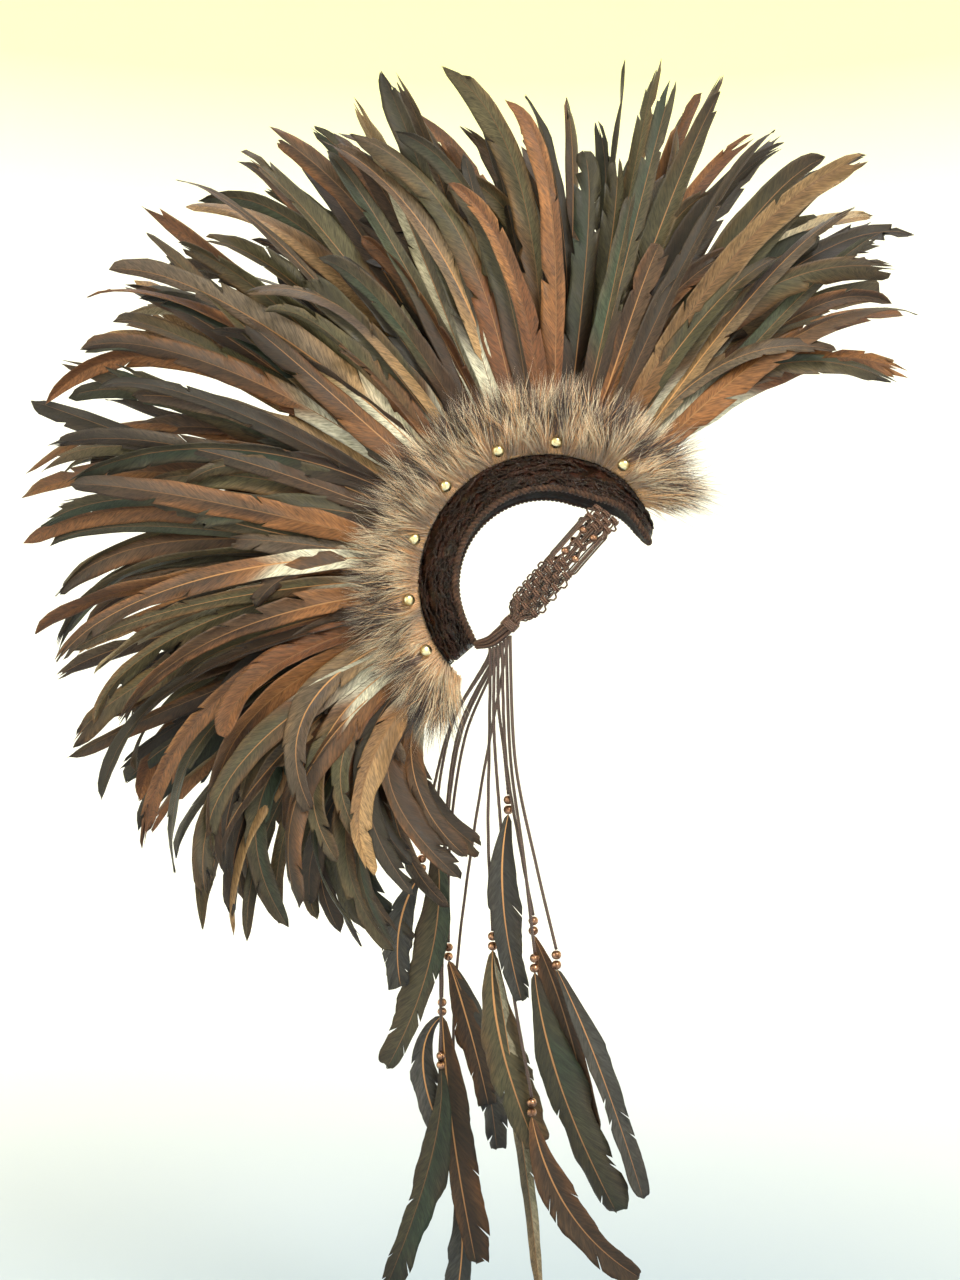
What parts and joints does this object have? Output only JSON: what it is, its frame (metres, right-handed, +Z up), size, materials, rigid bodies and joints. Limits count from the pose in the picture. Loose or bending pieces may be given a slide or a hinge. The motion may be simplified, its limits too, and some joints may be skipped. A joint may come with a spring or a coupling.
{
  "type": "feathered headdress",
  "caption": "Mohawk-style headdress: a padded hide saddle over the crown carries a fan of long tail feathers, fur trim, domed studs, knotted side bands and hanging beaded feathers.",
  "frame": {"origin": "the seat on the crown of the head, under the middle of the saddle", "axes": "+Z up, the wearer's face looks along -Y, the wearer's right side is -X"},
  "size_m": [0.1634, 0.8063, 1.1979],
  "materials": {
    "saddle_hide": "dark brown glossy wrinkled hide",
    "fur": "golden beige deep fur with dark brown tips",
    "stud_brass": "polished pale brass",
    "bead_copper": "antique copper",
    "tail_feather": "bronze, green-black and ginger feathers with a soft sheen",
    "knotted_cord": "matt brown knotted waxed cord",
    "waxed_cord": "dark brown waxed cord"
  },
  "bodies": {
    "root": {"saddle": "saddle_hide", "rim": "saddle_hide", "fur_right": "fur", "fur_left": "fur", "stud_right_1": "stud_brass", "stud_right_2": "stud_brass", "stud_right_3": "stud_brass", "stud_right_4": "stud_brass", "stud_right_5": "stud_brass", "stud_right_6": "stud_brass", "stud_right_7": "stud_brass", "stud_left_1": "stud_brass", "stud_left_2": "stud_brass", "stud_left_3": "stud_brass", "stud_left_4": "stud_brass", "stud_left_5": "stud_brass", "stud_left_6": "stud_brass", "stud_left_7": "stud_brass", "crest_1": "tail_feather", "crest_2": "tail_feather", "crest_3": "tail_feather", "crest_4": "tail_feather", "crest_5": "tail_feather", "strap_right": "knotted_cord", "strap_left": "knotted_cord", "strap_bead_right_1": "bead_copper", "strap_bead_right_2": "bead_copper", "strap_bead_right_3": "bead_copper", "strap_bead_right_4": "bead_copper", "strap_bead_left_1": "bead_copper", "strap_bead_left_2": "bead_copper", "strap_bead_left_3": "bead_copper", "strap_bead_left_4": "bead_copper", "tie_right": "knotted_cord", "tie_left": "knotted_cord", "cord_right_1": "waxed_cord", "cord_right_2": "waxed_cord", "cord_right_3": "waxed_cord", "cord_right_4": "waxed_cord", "cord_right_5": "waxed_cord", "cord_right_6": "waxed_cord", "cord_left_1": "waxed_cord", "cord_left_2": "waxed_cord", "cord_left_3": "waxed_cord", "cord_left_4": "waxed_cord", "cord_left_5": "waxed_cord", "cord_left_6": "waxed_cord", "drop_right_1": "tail_feather", "drop_right_2": "tail_feather", "drop_right_3": "tail_feather", "drop_right_4": "tail_feather", "drop_right_5": "tail_feather", "drop_right_6": "tail_feather", "drop_left_1": "tail_feather", "drop_left_2": "tail_feather", "drop_left_3": "tail_feather", "drop_left_4": "tail_feather", "drop_left_5": "tail_feather", "drop_left_6": "tail_feather"}
  },
  "joints": []
}
